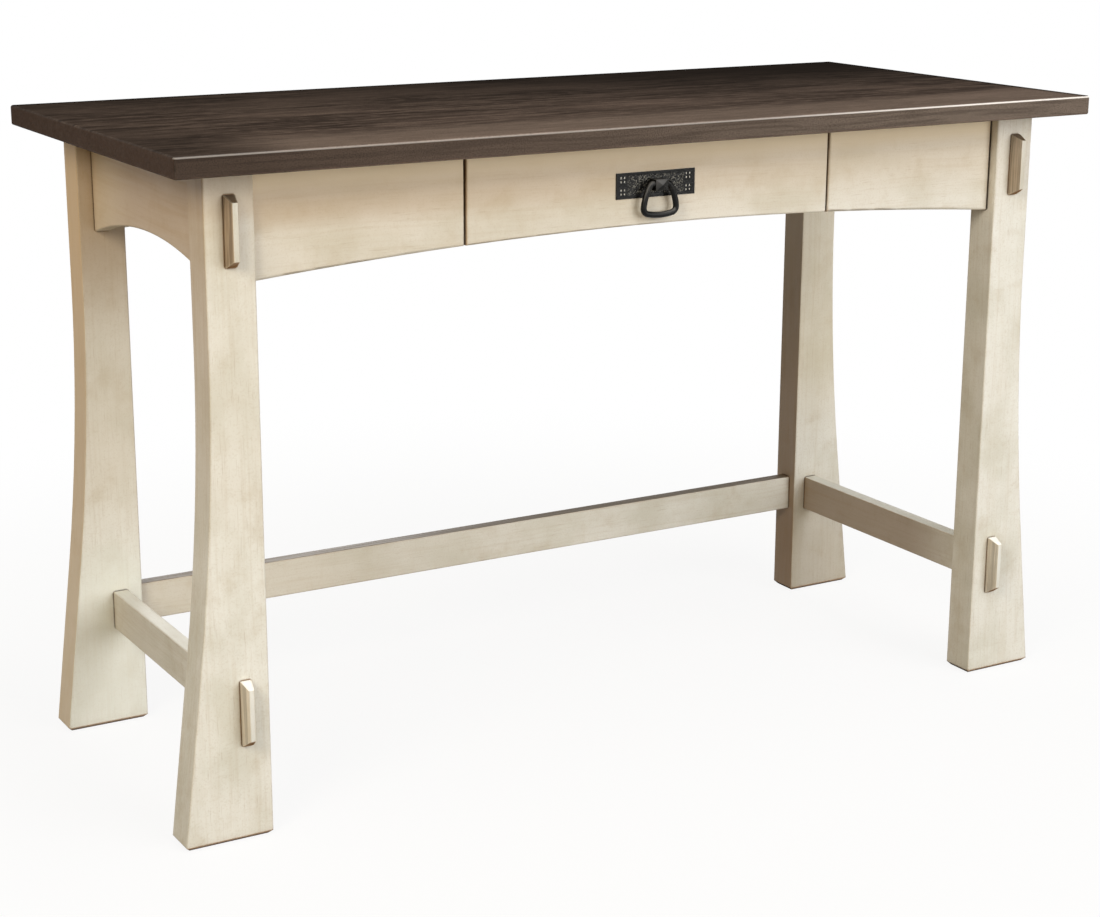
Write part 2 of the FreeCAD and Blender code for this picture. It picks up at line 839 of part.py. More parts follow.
def pull_ring():
    """Stirrup of forged bar, closed by a thinner round journal that turns in the post."""
    shoulder = post_width / 2 + journal_end_gap
    corner_angle = 180.0 - ring_bow_angle - ring_arm_angle
    right_bends = [(ring_shoulder_radius, ring_shoulder_angle),
                   (ring_arm_radius, ring_arm_angle - ring_shoulder_angle),
                   (ring_corner_radius, corner_angle)]
    x, z, heading = shoulder, pivot_z, 0.0
    bends = []
    for radius, angle in right_bends:
        bend, x, z, heading = ring_bend(x, z, heading, radius, angle)
        bends += [bend, mirrored(bend)]
    bow_radius = x / sin(radians(ring_bow_angle))
    bow = ring_bend(x, z, heading, bow_radius, 2 * ring_bow_angle)[0]
    journal = rod(journal_radius, Vec(-shoulder, pivot_y, pivot_z), Vec(1, 0, 0), 2 * shoulder)
    return journal.multiFuse(bends + [bow]).removeSplitter()


# Every piece, written to its own file
def save(name, shapes):
    whole = shapes[0] if len(shapes) == 1 else Part.makeCompound(shapes)
    whole.exportStep("parts/" + name + ".step")


def save_pair(pattern, right):
    """Write a right-hand piece and its left-hand twin."""
    save(pattern.format("right"), [right])
    save(pattern.format("left"), [mirrored(right)])


def main():
    os.makedirs("parts", exist_ok=True)
    save("desk_top", [desk_top()])
    save_pair("front_{}_leg", front_leg())
    save_pair("back_{}_leg", back_leg())
    save_pair("front_{}_panel", front_panel())
    save("back_apron", [back_apron()])
    save_pair("{}_side_apron", side_apron())
    save_pair("{}_side_stretcher", side_stretcher())
    save("back_stretcher", [back_stretcher()])
    for level, height in cap_places.items():
        save_pair(level + "_{}_tenon_cap", tenon_cap(height))
    save("drawer_sub_rail", [sub_rail()])
    save_pair("{}_drawer_bearer", drawer_bearer())
    save("top_clips", top_clips())
    save("top_clip_screws", top_clip_screws())
    save("sub_rail_screws", sub_rail_screws())
    save("bearer_screws", bearer_screws())
    save_pair("{}_slide_cabinet_member", slide_cabinet_member())
    save_pair("{}_slide_middle_member", slide_middle_member())
    save_pair("{}_slide_drawer_member", slide_drawer_member())
    save("slide_cabinet_screws", with_twins(cabinet_slide_screws()))
    save("slide_drawer_screws", with_twins(drawer_slide_screws()))
    save("drawer_front", [drawer_front()])
    save("drawer_box_front", [drawer_box_front()])
    save_pair("drawer_{}_side", drawer_side())
    save("drawer_back", [drawer_back()])
    save("drawer_bottom", [drawer_bottom()])
    save("drawer_front_screws", drawer_front_screws())
    save("pull_plate", [pull_plate()])
    save("pull_post", [pull_post()])
    save("pull_ring", [pull_ring()])
    save("pull_bolt", [pull_bolt()])


main()
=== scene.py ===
import json
from math import cos, pi, radians, sin

import bmesh
import bpy
from mathutils import Matrix, Vector, noise


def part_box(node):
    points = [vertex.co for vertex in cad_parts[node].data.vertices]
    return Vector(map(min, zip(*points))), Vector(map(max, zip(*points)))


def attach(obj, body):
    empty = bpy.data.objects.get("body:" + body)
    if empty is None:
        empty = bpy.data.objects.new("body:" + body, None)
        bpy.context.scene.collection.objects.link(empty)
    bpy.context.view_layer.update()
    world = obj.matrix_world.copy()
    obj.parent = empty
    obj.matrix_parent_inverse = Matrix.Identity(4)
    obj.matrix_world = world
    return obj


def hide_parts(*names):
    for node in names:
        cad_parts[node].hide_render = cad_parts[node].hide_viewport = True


# A writing desk: off-white glazed legs and aprons under a dark stained top, with a hammered iron ring pull.
# Metres, in the same frame as the solids: +X to the right, +Y to the back, +Z up from the floor.
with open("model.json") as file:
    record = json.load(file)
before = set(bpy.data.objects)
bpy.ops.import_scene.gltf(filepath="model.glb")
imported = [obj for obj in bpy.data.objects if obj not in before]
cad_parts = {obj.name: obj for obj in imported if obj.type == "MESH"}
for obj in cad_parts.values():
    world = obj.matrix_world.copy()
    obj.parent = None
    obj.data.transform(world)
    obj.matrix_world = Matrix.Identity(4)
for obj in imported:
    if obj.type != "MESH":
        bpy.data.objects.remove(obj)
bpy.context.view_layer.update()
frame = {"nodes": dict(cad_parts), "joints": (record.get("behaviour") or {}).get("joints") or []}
mm = 0.001


# Node helpers. An input, an amount or a colour is a plain value, or a socket to link.
def shade(red, green, blue):
    """A colour written as 0 to 255, as the linear values that the nodes work in."""
    parts = [part / 255 for part in (red, green, blue)]
    return (*[part / 12.92 if part <= 0.04045 else ((part + 0.055) / 1.055) ** 2.4 for part in parts], 1.0)


def feed(tree, node, inputs):
    """Sets or links a node's inputs."""
    for name, value in inputs.items():
        if isinstance(value, bpy.types.NodeSocket):
            tree.links.new(value, node.inputs[name])
        else:
            node.inputs[name].default_value = value


def add(tree, kind, inputs, **settings):
    """A new node with its settings and inputs."""
    node = tree.nodes.new("ShaderNode" + kind)
    for name, value in settings.items():
        setattr(node, name, value)
    feed(tree, node, inputs)
    return node


def reckon(tree, operation, first, second=0.0):
    return add(tree, "Math", {0: first, 1: second}, operation=operation).outputs[0]


def product(tree, first, *others):
    for other in others:
        first = reckon(tree, "MULTIPLY", first, other)
    return first


def span(tree, value, low, high, start=0.0, end=1.0):
    """A value eased from one range into another, and held at its ends."""
    return add(tree, "MapRange", {"Value": value, "From Min": low, "From Max": high, "To Min": start,
                                  "To Max": end}, interpolation_type="SMOOTHSTEP").outputs[0]


def wash(tree, amount, under, over):
    """One colour washed over another."""
    return add(tree, "Mix", {0: amount, 6: under, 7: over}, data_type="RGBA").outputs[2]


def layered(tree, colour, layers):
    """Washes over a colour, each growing to its amount as a value goes from one level to another."""
    for value, low, high, amount, tint in layers:
        colour = wash(tree, span(tree, value, low, high, 0.0, amount), colour, tint)
    return colour


def parts_of(tree, vector):
    """A vector's X, Y and Z."""
    return add(tree, "SeparateXYZ", {"Vector": vector}).outputs


def way_faced(tree):
    """The way that the surface faces, in the piece's own X, Y and Z."""
    return add(tree, "TexCoord", {}).outputs["Normal"]


def even_noise(tree, place, scale, detail, roughness=0.5):
    """Noise of the same size in every direction; the scale is in waves per metre."""
    inputs = {"Vector": place, "Scale": scale, "Detail": detail, "Roughness": roughness}
    return add(tree, "TexNoise", inputs).outputs[0]


def stretched_noise(tree, place, across, along, detail):
    """Noise drawn out along the grain, which runs along Z; the two sizes are waves per metre."""
    drawn = add(tree, "VectorMath", {0: place, 1: (across, across, along)}, operation="MULTIPLY").outputs[0]
    return even_noise(tree, drawn, 1.0, detail)


def new_group(name, inputs, outputs):
    """An empty node group, the sockets inside that its inputs arrive on, and those its outputs leave by."""
    group = bpy.data.node_groups.new(name, "ShaderNodeTree")
    for label, kind in inputs.items():
        group.interface.new_socket(label, in_out="INPUT", socket_type="NodeSocket" + kind)
    for label in outputs:
        group.interface.new_socket(label, in_out="OUTPUT", socket_type="NodeSocketFloat")
    return group, group.nodes.new("NodeGroupInput").outputs, group.nodes.new("NodeGroupOutput").inputs


def use_group(tree, group, inputs):
    return add(tree, "Group", inputs, node_tree=group).outputs


# Effects that several finishes share
def wood_figure_group():
    """Maple figure with the grain along Z: broad bands, fine lines, pores, curl across the grain, clouds."""
    waves = {"Bands": (34.0, 3.5, 4.0), "Lines": (260.0, 6.0, 3.0), "Pores": (820.0, 34.0, 1.0),
             "Curl": (38.0, 95.0, 2.0), "Clouds": (14.0, 9.0, 4.0)}
    group, given, put = new_group("wood figure", {"Place": "Vector"}, waves)
    place = given["Place"]
    drift = add(group, "TexNoise", {"Vector": place, "Scale": 3.0, "Detail": 1.0}).outputs["Color"]
    sway = add(group, "VectorMath", {0: drift, 1: (0.02, 0.02, 0.0)}, operation="MULTIPLY").outputs[0]
    swayed = add(group, "VectorMath", {0: place, 1: sway}).outputs[0]
    for label, (across, along, detail) in waves.items():
        group.links.new(stretched_noise(group, swayed, across, along, detail), put[label])
    return group


def edge_rub_group():
    """Mask of a piece's own outer edges, broken up by patches."""
    group, given, put = new_group("edge rub", {"Reach": "Float", "Place": "Vector"}, ("Rub",))
    inner = add(group, "AmbientOcclusion", {"Distance": given["Reach"]}, inside=True, only_local=True,
                samples=12)
    edge = span(group, inner.outputs["AO"], 0.93, 0.55)
    broken = span(group, even_noise(group, given["Place"], 38.0, 3.0), 0.36, 0.62, 0.3, 1.0)
    group.links.new(product(group, edge, broken), put["Rub"])
    return group


def glaze_and_shade_in_recess_group():
    """Masks of the corners where glaze stays and where shade falls, for glaze and painted shade: a soft smear,
    and a thin dark line.
    """
    inputs = {"Smear Reach": "Float", "Line Reach": "Float", "Place": "Vector"}
    group, given, put = new_group("glaze and shade in recess", inputs, ("Smear", "Line"))
    wide = add(group, "AmbientOcclusion", {"Distance": given["Smear Reach"]}, samples=12).outputs["AO"]
    tight = add(group, "AmbientOcclusion", {"Distance": given["Line Reach"]}, samples=12).outputs["AO"]
    uneven = span(group, even_noise(group, given["Place"], 60.0, 2.0), 0.3, 0.65, 0.4, 1.0)
    group.links.new(product(group, span(group, wide, 0.95, 0.35), uneven), put["Smear"])
    group.links.new(span(group, tight, 0.84, 0.52), put["Line"])
    return group


wood_figure = wood_figure_group()
edge_rub = edge_rub_group()
glaze_and_shade_in_recess = glaze_and_shade_in_recess_group()


# Helpers for the finishes
def new_finish(name):
    """A material with its node tree, its shader, and the place on the piece."""
    finish = bpy.data.materials.new(name)
    finish.use_nodes = True
    tree = finish.node_tree
    place = add(tree, "TexCoord", {}).outputs["Object"]
    return finish, tree, tree.nodes["Principled BSDF"], place


# How a piece's grain is turned to lie along Z
grain_upright = (0.0, 0.0, 0.0)
grain_across = (0.0, -pi / 2, 0.0)
grain_front_to_back = (pi / 2, 0.0, 0.0)


def along_grain(tree, place, grain):
    return add(tree, "Mapping", {"Vector": place, "Rotation": grain}).outputs[0]


def edges_rubbed(tree, place, reach):
    return use_group(tree, edge_rub, {"Reach": reach, "Place": place})["Rub"]


def bump(tree, height, strength, depth):
    return add(tree, "Bump", {"Height": height, "Strength": strength, "Distance": depth}).outputs[0]


def open_grain(tree, figure, pores, strength, depth):
    """Bump of the wood's fine lines and its pores."""
    relief = reckon(tree, "ADD", product(tree, figure["Pores"], pores), figure["Lines"])
    return bump(tree, relief, strength, depth)


def shine_from_above(tree, most):
    """Shine that fades where a surface is seen at a low angle, so that it doesn't mirror the white room."""
    low_view = add(tree, "LayerWeight", {"Blend": 0.5}).outputs["Facing"]
    return span(tree, low_view, 0.84, 0.5, 0.0, most)


# Painted light and shade, and some glaze: washes that lighten or darken parts of the desk as light falls on
# them. Each wash has the ways that it grows along, with the places where it starts and is full, then its amount
# and its tint.
# X, Y and Z are places on the desk; up and forward are ways a face looks.
warm_painted_shade = shade(176, 138, 84)
brown_glaze_and_painted_shade = shade(164, 126, 76)
grey_painted_shade = shade(188, 172, 144)
to_left, to_right, to_front, to_back = (0.3, -0.3), (-0.3, 0.3), (0.1, -0.1), (0.0, 0.2)
# Legs: painted shade on the front left leg and on the back legs, painted light low on the back left and high on
# the back right leg, and brown glaze with painted shade high on the back left
leg_glaze_and_painted_light = [
    ({"X": to_left, "Y": to_front, "Z": (0.688, 0.707)}, 0.29, warm_painted_shade),
    ({"X": to_left, "Y": to_front, "Z": (0.28, 0.42)}, 0.17, grey_painted_shade),
    ({"X": to_left, "Y": to_back, "Z": (0.26, 0.18)}, 0.45, shade(248, 254, 248)),
    ({"X": to_left, "Y": to_back, "Z": (0.2, 0.34)}, 0.35, grey_painted_shade),
    ({"X": to_left, "Y": to_back, "Z": (0.48, 0.63)}, 0.48, brown_glaze_and_painted_shade),
    ({"X": to_right, "Y": to_back, "Z": (0.2, 0.38)}, 0.3, shade(240, 222, 180)),
    ({"X": to_right, "Y": to_back, "Z": (0.22, 0.06)}, 0.48, shade(156, 139, 112)),
]
# Boards: painted shade under the top, to the left and at the back, painted light just under the top on front
# faces, and a dark top face on the back stretcher
board_glaze_and_painted_light = [
    ({"X": (0.6, -0.5), "Z": (0.67, 0.697)}, 0.33, warm_painted_shade),
    ({"forward": (0.6, 0.9), "Z": (0.712, 0.736)}, 0.8, shade(248, 231, 198)),
    ({"X": (0.2, -0.3), "Y": (0.0, -0.15), "Z": (0.68, 0.635)}, 0.28, grey_painted_shade),
    ({"X": (0.4, -0.4), "Y": to_back}, 0.34, grey_painted_shade),
    ({"up": (0.7, 0.95), "Z": (0.3, 0.2)}, 0.92, shade(92, 76, 54)),
]
# Side pieces: painted shade towards the back, painted light on faces that look up
side_piece_painted_light = [
    ({"Y": to_back}, 0.2, grey_painted_shade),
    ({"up": (0.7, 0.95)}, 0.4, shade(248, 253, 250)),
]

# Glaze and painted shade on faces that look to the left or right: amounts low down and high up, for faces that
# look outwards at the front, outwards at the back, and inwards
board_sides = ((0.05, 0.5), (0.05, 0.5), (0.62, 0.62))
leg_sides = ((0.0, 0.4), (0.6, 0.9), (0.74, 0.5))
low_down, high_up = 0.3, 0.7

# The drawer front has no glaze or painted shade behind the pull's plate, and is painted pale behind the holes
# in the plate as painted light
bare_half_width = 55 * mm
pale_low, pale_high = 0.684, 0.7077

# The lower tenon caps lie below the first of these heights, the upper ones above the second
between_caps = (0.3, 0.5)


def paint_coats(tree, place, figure):
    """Off-white paint with clouds, smudges and the grain showing through."""
    smudges = even_noise(tree, place, 24.0, 5.0, 0.6)
    tooth = even_noise(tree, place, 420.0, 2.0)
    return layered(tree, shade(235, 234, 226), [
        (figure["Clouds"], 0.4, 0.7, 0.65, shade(211, 209, 194)),
        (smudges, 0.5, 0.74, 0.36, shade(196, 184, 160)),
        (smudges, 0.46, 0.3, 0.36, shade(240, 241, 234)),
        (figure["Bands"], 0.48, 0.75, 0.2, shade(204, 194, 171)),
        (figure["Lines"], 0.46, 0.74, 0.16, shade(190, 174, 146)),
        (tooth, 0.5, 0.72, 0.18, shade(186, 172, 146)),
        (figure["Curl"], 0.52, 0.8, 0.1, shade(198, 184, 158)),
        (figure["Pores"], 0.62, 0.8, 0.25, shade(160, 138, 106)),
    ])


def glazed_and_lit_by_place(tree, colour, spot, facing, places):
    """Glaze and painted light and shade, at the places listed above."""
    where = {"X": spot["X"], "Y": spot["Y"], "Z": spot["Z"], "up": facing["Z"],
             "forward": product(tree, facing["Y"], -1.0)}
    for ways, amount, tint in places:
        grown = [span(tree, where[way], start, end) for way, (start, end) in ways.items()]
        colour = wash(tree, product(tree, amount, *grown), colour, tint)
    return colour


def glazed_and_shaded_sides(tree, colour, spot, facing, amounts):
    """Brown glaze and painted shade on faces that look left or right, and a line at the floor, golden in front,
    dark at the sides.
    """
    front, back, inside = [span(tree, spot["Z"], low_down, high_up, *pair) for pair in amounts]
    to_side = reckon(tree, "ABSOLUTE", facing["X"])
    foot_tint = wash(tree, span(tree, to_side, 0.3, 0.6), shade(204, 148, 82), shade(72, 48, 26))
    colour = layered(tree, colour, [(spot["Z"], 6.5 * mm, 2.5 * mm, 0.9, foot_tint)])
    outward = product(tree, facing["X"], spot["X"])
    outer = span(tree, spot["Y"], -0.1, 0.1, front, back)
    inner = span(tree, spot["Y"], -0.2, -0.05, 0.0, inside)
    amount = product(tree, span(tree, to_side, 0.6, 0.95), span(tree, outward, -0.2, 0.2, inner, outer))
    # Outer faces at the back take a paler tint as painted light; inner faces a dark brown as glaze and painted
    # shade
    outer_tint = wash(tree, span(tree, spot["Y"], 0.02, 0.16), shade(182, 142, 98), shade(224, 196, 156))
    tint = wash(tree, span(tree, outward, 0.2, -0.2), outer_tint, shade(128, 95, 60))
    return wash(tree, amount, colour, tint)


def glazed_and_lit_cap(tree, colour, spot, facing, figure):
    """Streaked sides, upper slope, lower bevel and face of a tenon cap, with painted light and shade; each tint
    is for low and high caps.
    """
    # Painted light and shade: the high caps are darker all over, as painted shade under the top; the low caps'
    # slopes and faces are near-white, as painted light
    high = span(tree, spot["Z"], *between_caps)
    pale_line = wash(tree, high, shade(230, 214, 192), shade(174, 152, 126))
    dark_line = wash(tree, high, shade(120, 99, 74), shade(118, 99, 76))
    slope_light_and_shade = wash(tree, high, shade(255, 255, 252), shade(104, 86, 66))
    face_light_and_shade = wash(tree, high, shade(236, 238, 236), shade(190, 184, 166))
    slope = span(tree, facing["Z"], 0.2, 0.5)
    sides = wash(tree, span(tree, figure["Lines"], 0.4, 0.6), pale_line, dark_line)
    sides = wash(tree, slope, sides, slope_light_and_shade)
    amount = reckon(tree, "MAXIMUM", span(tree, spot["Z"], *between_caps, 0.42, 0.8), slope)
    colour = wash(tree, product(tree, span(tree, facing["Y"], -0.97, -0.8), amount), colour, sides)
    return layered(tree, colour, [
        (facing["Z"], -0.3, -0.6, 0.85, shade(150, 114, 78)),
        (facing["Y"], -0.97, -0.995, 0.5, face_light_and_shade),
    ])


def painted_wood(name, grain, shade_under_top, places=(), sides=board_sides, is_cap=False, behind_plate=False):
    """Antique off-white paint with brown glaze left in the grain, the corners and on the edges, and painted
    light and shade.
    """
    finish, tree, shader, place = new_finish(name)
    figure = use_group(tree, wood_figure, {"Place": along_grain(tree, place, grain)})
    spot, facing = parts_of(tree, place), parts_of(tree, way_faced(tree))
    colour = paint_coats(tree, place, figure)
    # Painted shade: warmer and darker towards the top, where the overhanging top shades the paint
    colour = layered(tree, colour, [(spot["Z"], 0.6, 0.73, shade_under_top, shade(198, 166, 114))])
    # Glaze and painted light and shade at the listed places
    colour = glazed_and_lit_by_place(tree, colour, spot, facing, places)
    colour = glazed_and_shaded_sides(tree, colour, spot, facing, sides)
    # Glaze and painted shade in the corners: a soft smear, and a thin dark line where parts meet
    recess = {"Smear Reach": 18 * mm, "Line Reach": 3.5 * mm, "Place": place}
    glaze = use_group(tree, glaze_and_shade_in_recess, recess)
    smear, line = product(tree, glaze["Smear"], 0.4), product(tree, glaze["Line"], 0.85)
    if behind_plate:
        from_middle = reckon(tree, "ABSOLUTE", spot["X"])
        clear = span(tree, from_middle, bare_half_width - 4 * mm, bare_half_width)
        smear, line = product(tree, smear, clear), product(tree, line, clear)
        # Painted light: paler behind the holes in the plate, so that they show bright
        pale = product(tree, reckon(tree, "SUBTRACT", 1.0, clear),
                       span(tree, spot["Z"], pale_low, pale_low + 2 * mm),
                       span(tree, spot["Z"], pale_high, pale_high - 2 * mm))
        colour = wash(tree, pale, colour, shade(252, 249, 238))
    # The smear: brown glaze and painted shade
    colour = wash(tree, smear, colour, shade(150, 121, 84))
    edge_tint = shade(146, 108, 62)
    if is_cap:
        colour = glazed_and_lit_cap(tree, colour, spot, facing, figure)
        edge_tint = shade(214, 202, 178)
    # The thin dark line: glaze and painted shade in the gaps between parts
    colour = wash(tree, line, colour, shade(44, 32, 22))
    colour = wash(tree, product(tree, edges_rubbed(tree, place, 3 * mm), 0.8), colour, edge_tint)
    feed(tree, shader, {
        "Base Color": colour,
        "Roughness": span(tree, figure["Lines"], 0.3, 0.7, 0.4, 0.55),
        "Specular IOR Level": shine_from_above(tree, 0.35),
        "Normal": open_grain(tree, figure, 0.6, 0.12, 0.6 * mm),
    })
    return finish


# The painted highlight along the top's upper front edge: where it starts and is full, from below, above and
# behind
highlight_from_below, highlight_from_above = (0.7694, 0.7704), (0.7719, 0.7711)
highlight_from_behind = (-0.2655, -0.266)


def stained_top():
    """Charcoal-brown stain on maple that runs along the desk, with a painted highlight along the front edge."""
    finish, tree, shader, place = new_finish("charcoal_stained_maple")
    along = along_grain(tree, place, grain_across)
    figure = use_group(tree, wood_figure, {"Place": along})
    spot, facing = parts_of(tree, place), parts_of(tree, way_faced(tree))
    streaks = stretched_noise(tree, along, 90.0, 11.0, 4.0)
    dashes = stretched_noise(tree, along, 170.0, 48.0, 2.0)
    blotches = stretched_noise(tree, along, 9.0, 3.0, 3.0)
    tooth = even_noise(tree, place, 760.0, 2.0)
    colour = layered(tree, shade(66, 57, 52), [
        (streaks, 0.34, 0.66, 1.0, shade(107, 93, 84)),
        (figure["Lines"], 0.4, 0.7, 0.4, shade(55, 47, 43)),
        (dashes, 0.42, 0.68, 0.4, shade(60, 51, 46)),
        (dashes, 0.46, 0.3, 0.28, shade(132, 114, 103)),
        (blotches, 0.45, 0.7, 0.5, shade(125, 108, 98)),
        (figure["Curl"], 0.52, 0.8, 0.14, shade(130, 113, 102)),
    ])
    # Painted sheen and shade: paler along the front, darker at the left end and towards the back, most of all
    # at the back right
    off_left_end = span(tree, spot["X"], -0.58, -0.44)
    painted_front_sheen = product(tree, span(tree, spot["Y"], -0.14, -0.21, 0.0, 0.5), off_left_end)
    colour = wash(tree, painted_front_sheen, colour, shade(147, 130, 118))
    left_end = reckon(tree, "SUBTRACT", 1.0, off_left_end)
    painted_left_end_shade = product(tree, left_end, span(tree, spot["Y"], 0.1, -0.12, 0.0, 0.5))
    colour = wash(tree, painted_left_end_shade, colour, shade(40, 35, 32))
    dark_from = span(tree, spot["X"], -0.5, 0.5, -0.02, -0.2)
    darkest = span(tree, spot["X"], -0.5, 0.5, 0.5, 0.93)
    colour = layered(tree, colour, [
        (figure["Pores"], 0.6, 0.75, 0.5, shade(35, 30, 28)),
        (spot["Y"], dark_from, 0.25, darkest, shade(32, 29, 27)),
    ])
    # Painted shade: almost black along the far edges, at the back and on the right
    at_back, at_right = span(tree, spot["Y"], 0.245, 0.268), span(tree, spot["X"], 0.588, 0.607)
    painted_far_edge_shade = reckon(tree, "MAXIMUM", at_back, at_right)
    painted_far_edge_shade = product(tree, painted_far_edge_shade, span(tree, facing["Z"], 0.7, 0.98, 0.0, 0.85))
    colour = wash(tree, painted_far_edge_shade, colour, shade(18, 15, 13))
    # The edges' own faces: back, front, ends; the front face is painted lighter towards the right, as painted
    # light
    front_face_lit_to_right = wash(tree, span(tree, spot["X"], -0.5, 0.6), shade(70, 58, 50), shade(118, 106, 96))
    front_face_lit_to_right = layered(tree, front_face_lit_to_right, [(figure["Lines"], 0.44, 0.62, 0.4, shade(40, 33, 29))])
    colour = layered(tree, colour, [
        (facing["Y"], 0.8, 0.97, 0.75, shade(78, 63, 54)),
        (facing["Y"], -0.8, -0.97, 0.85, front_face_lit_to_right),
        (reckon(tree, "ABSOLUTE", facing["X"]), 0.8, 0.97, 0.88, shade(74, 58, 48)),
        (tooth, 0.42, 0.66, 0.5, shade(39, 34, 31)),
    ])
    # Edges: pale at the front; almost black at the back, as painted shade
    rub = edges_rubbed(tree, place, 2 * mm)
    edge_tint = wash(tree, span(tree, spot["Y"], -0.1, 0.1), shade(172, 138, 110), shade(30, 24, 21))
    colour = wash(tree, product(tree, rub, 0.7), colour, edge_tint)
    # Painted highlight along the upper front edge, brightest towards the right
    painted_highlight = product(tree, span(tree, spot["Z"], *highlight_from_below), span(tree, spot["Z"], *highlight_from_above),
                     span(tree, spot["Y"], *highlight_from_behind), span(tree, spot["X"], 0.0, 0.5, 0.25, 1.0))
    colour = wash(tree, painted_highlight, colour, shade(240, 236, 232))
    feed(tree, shader, {
        "Base Color": colour,
        "Roughness": span(tree, figure["Lines"], 0.3, 0.7, 0.58, 0.7),
        "Specular IOR Level": shine_from_above(tree, 0.06),
        "Coat Weight": product(tree, rub, 0.8),
        "Coat Roughness": 0.2,
        "Normal": open_grain(tree, figure, 0.7, 0.14, 0.6 * mm),
    })
    return finish


def clear_maple(name, grain, pale_band, dark_band):
    """Clear-finished maple, for the drawer's box."""
    finish, tree, shader, place = new_finish(name)
    figure = use_group(tree, wood_figure, {"Place": along_grain(tree, place, grain)})
    colour = layered(tree, pale_band, [
        (figure["Bands"], 0.35, 0.7, 1.0, dark_band),
        (figure["Lines"], 0.45, 0.72, 0.5, shade(176, 134, 88)),
        (figure["Curl"], 0.5, 0.75, 0.25, shade(226, 194, 150)),
        (figure["Pores"], 0.6, 0.76, 0.4, shade(138, 98, 60)),
    ])
    rub = edges_rubbed(tree, place, 1.5 * mm)
    feed(tree, shader, {
        "Base Color": wash(tree, product(tree, rub, 0.3), colour, shade(236, 210, 170)),
        "Roughness": span(tree, figure["Lines"], 0.3, 0.7, 0.36, 0.48),
        "Normal": open_grain(tree, figure, 0.6, 0.1, 0.5 * mm),
    })
    return finish


# Where the pull's plate has painted glints on its hammered ridges: distances from its middle, where they start
# and are full
plate_middle_height = 0.6958
glints_across, glints_up = (41 * mm, 35 * mm), (12.5 * mm, 9.5 * mm)
painted_highlight_toward = (-0.45, -0.6, 0.66)


def black_iron(name, dimple, glints, highlight, highlight_starts=0.78):
    """Waxed black iron, black in the hollows; painted glints on the hammer's ridges, a painted highlight on
    faces turned up and forward.
    """
    finish, tree, shader, place = new_finish(name)
    spot = parts_of(tree, place)
    blows = add(tree, "TexVoronoi", {"Vector": place, "Scale": 1 / dimple}).outputs["Distance"]
    grit = even_noise(tree, place, 900.0, 3.0)
    colour = layered(tree, shade(20, 20, 19), [(grit, 0.35, 0.7, 1.0, shade(9, 9, 9))])
    from_middle_up = reckon(tree, "ABSOLUTE", reckon(tree, "SUBTRACT", spot["Z"], plate_middle_height))
    from_middle_across = reckon(tree, "ABSOLUTE", spot["X"])
    # Painted glints on the hammer's ridges
    ridges = product(tree, span(tree, blows, 0.52, 0.76), span(tree, grit, 0.4, 0.54), glints,
                     span(tree, from_middle_across, *glints_across), span(tree, from_middle_up, *glints_up))
    colour = wash(tree, ridges, colour, shade(146, 144, 134))
    # Painted highlight on faces that look up, forward and to the left
    facing_highlight = add(tree, "VectorMath", {0: way_faced(tree), 1: painted_highlight_toward}, operation="DOT_PRODUCT")
    colour = layered(tree, colour, [(facing_highlight.outputs["Value"], highlight_starts, 1.0, highlight, shade(150, 150, 150))])
    rub = edges_rubbed(tree, place, 1.2 * mm)
    relief = reckon(tree, "ADD", blows, product(tree, grit, 0.25))
    feed(tree, shader, {
        "Base Color": wash(tree, product(tree, rub, 0.25), colour, shade(84, 82, 78)),
        "Roughness": span(tree, grit, 0.3, 0.7, 0.24, 0.4),
        "Specular IOR Level": 0.14,
        "Normal": bump(tree, relief, 0.3, 0.6 * mm),
    })
    return finish


def zinc_steel():
    """Zinc-plated steel: fine drawn lines, cloudy plating, brighter edges."""
    finish, tree, shader, place = new_finish("zinc_plated_steel")
    drawn = stretched_noise(tree, along_grain(tree, place, grain_front_to_back), 1600.0, 14.0, 2.0)
    clouds = even_noise(tree, place, 45.0, 3.0)
    colour = layered(tree, shade(186, 190, 194), [
        (clouds, 0.35, 0.7, 1.0, shade(156, 161, 168)),
        (drawn, 0.5, 0.75, 0.4, shade(120, 124, 130)),
    ])
    rub = edges_rubbed(tree, place, 0.6 * mm)
    feed(tree, shader, {
        "Base Color": wash(tree, product(tree, rub, 0.5), colour, shade(220, 222, 224)),
        "Roughness": span(tree, clouds, 0.3, 0.7, 0.28, 0.42),
        "Metallic": 0.9,
        "Normal": bump(tree, drawn, 0.08, 0.2 * mm),
    })
    return finish


painted_upright = painted_wood("antique_paint_upright", grain_upright, 0.14, leg_glaze_and_painted_light, leg_sides)
painted_across = painted_wood("antique_paint_across", grain_across, 0.4, board_glaze_and_painted_light)
painted_drawer = painted_wood("antique_paint_drawer", grain_across, 0.42, board_glaze_and_painted_light, behind_plate=True)
painted_front_to_back = painted_wood("antique_paint_front_to_back", grain_front_to_back, 0.42, side_piece_painted_light)
painted_cap = painted_wood("antique_paint_caps", grain_upright, 0.0, is_cap=True)
top_stain = stained_top()
maple_across = clear_maple("clear_maple_across", grain_across, shade(216, 182, 136), shade(200, 162, 114))
maple_front_to_back = clear_maple("clear_maple_front_to_back", grain_front_to_back, shade(214, 179, 132),
                                  shade(198, 160, 112))
drawer_plywood = clear_maple("clear_maple_plywood", grain_across, shade(220, 190, 146), shade(208, 174, 126))
hammered_iron = black_iron("hammered_black_iron", 1.8 * mm, 0.75, 0.0)
forged_iron = black_iron("forged_black_iron", 6 * mm, 0.06, 0.45)
broadly_lit_iron = black_iron("broadly_lit_black_iron", 6 * mm, 0.06, 0.48, 0.55)
plated_steel = zinc_steel()

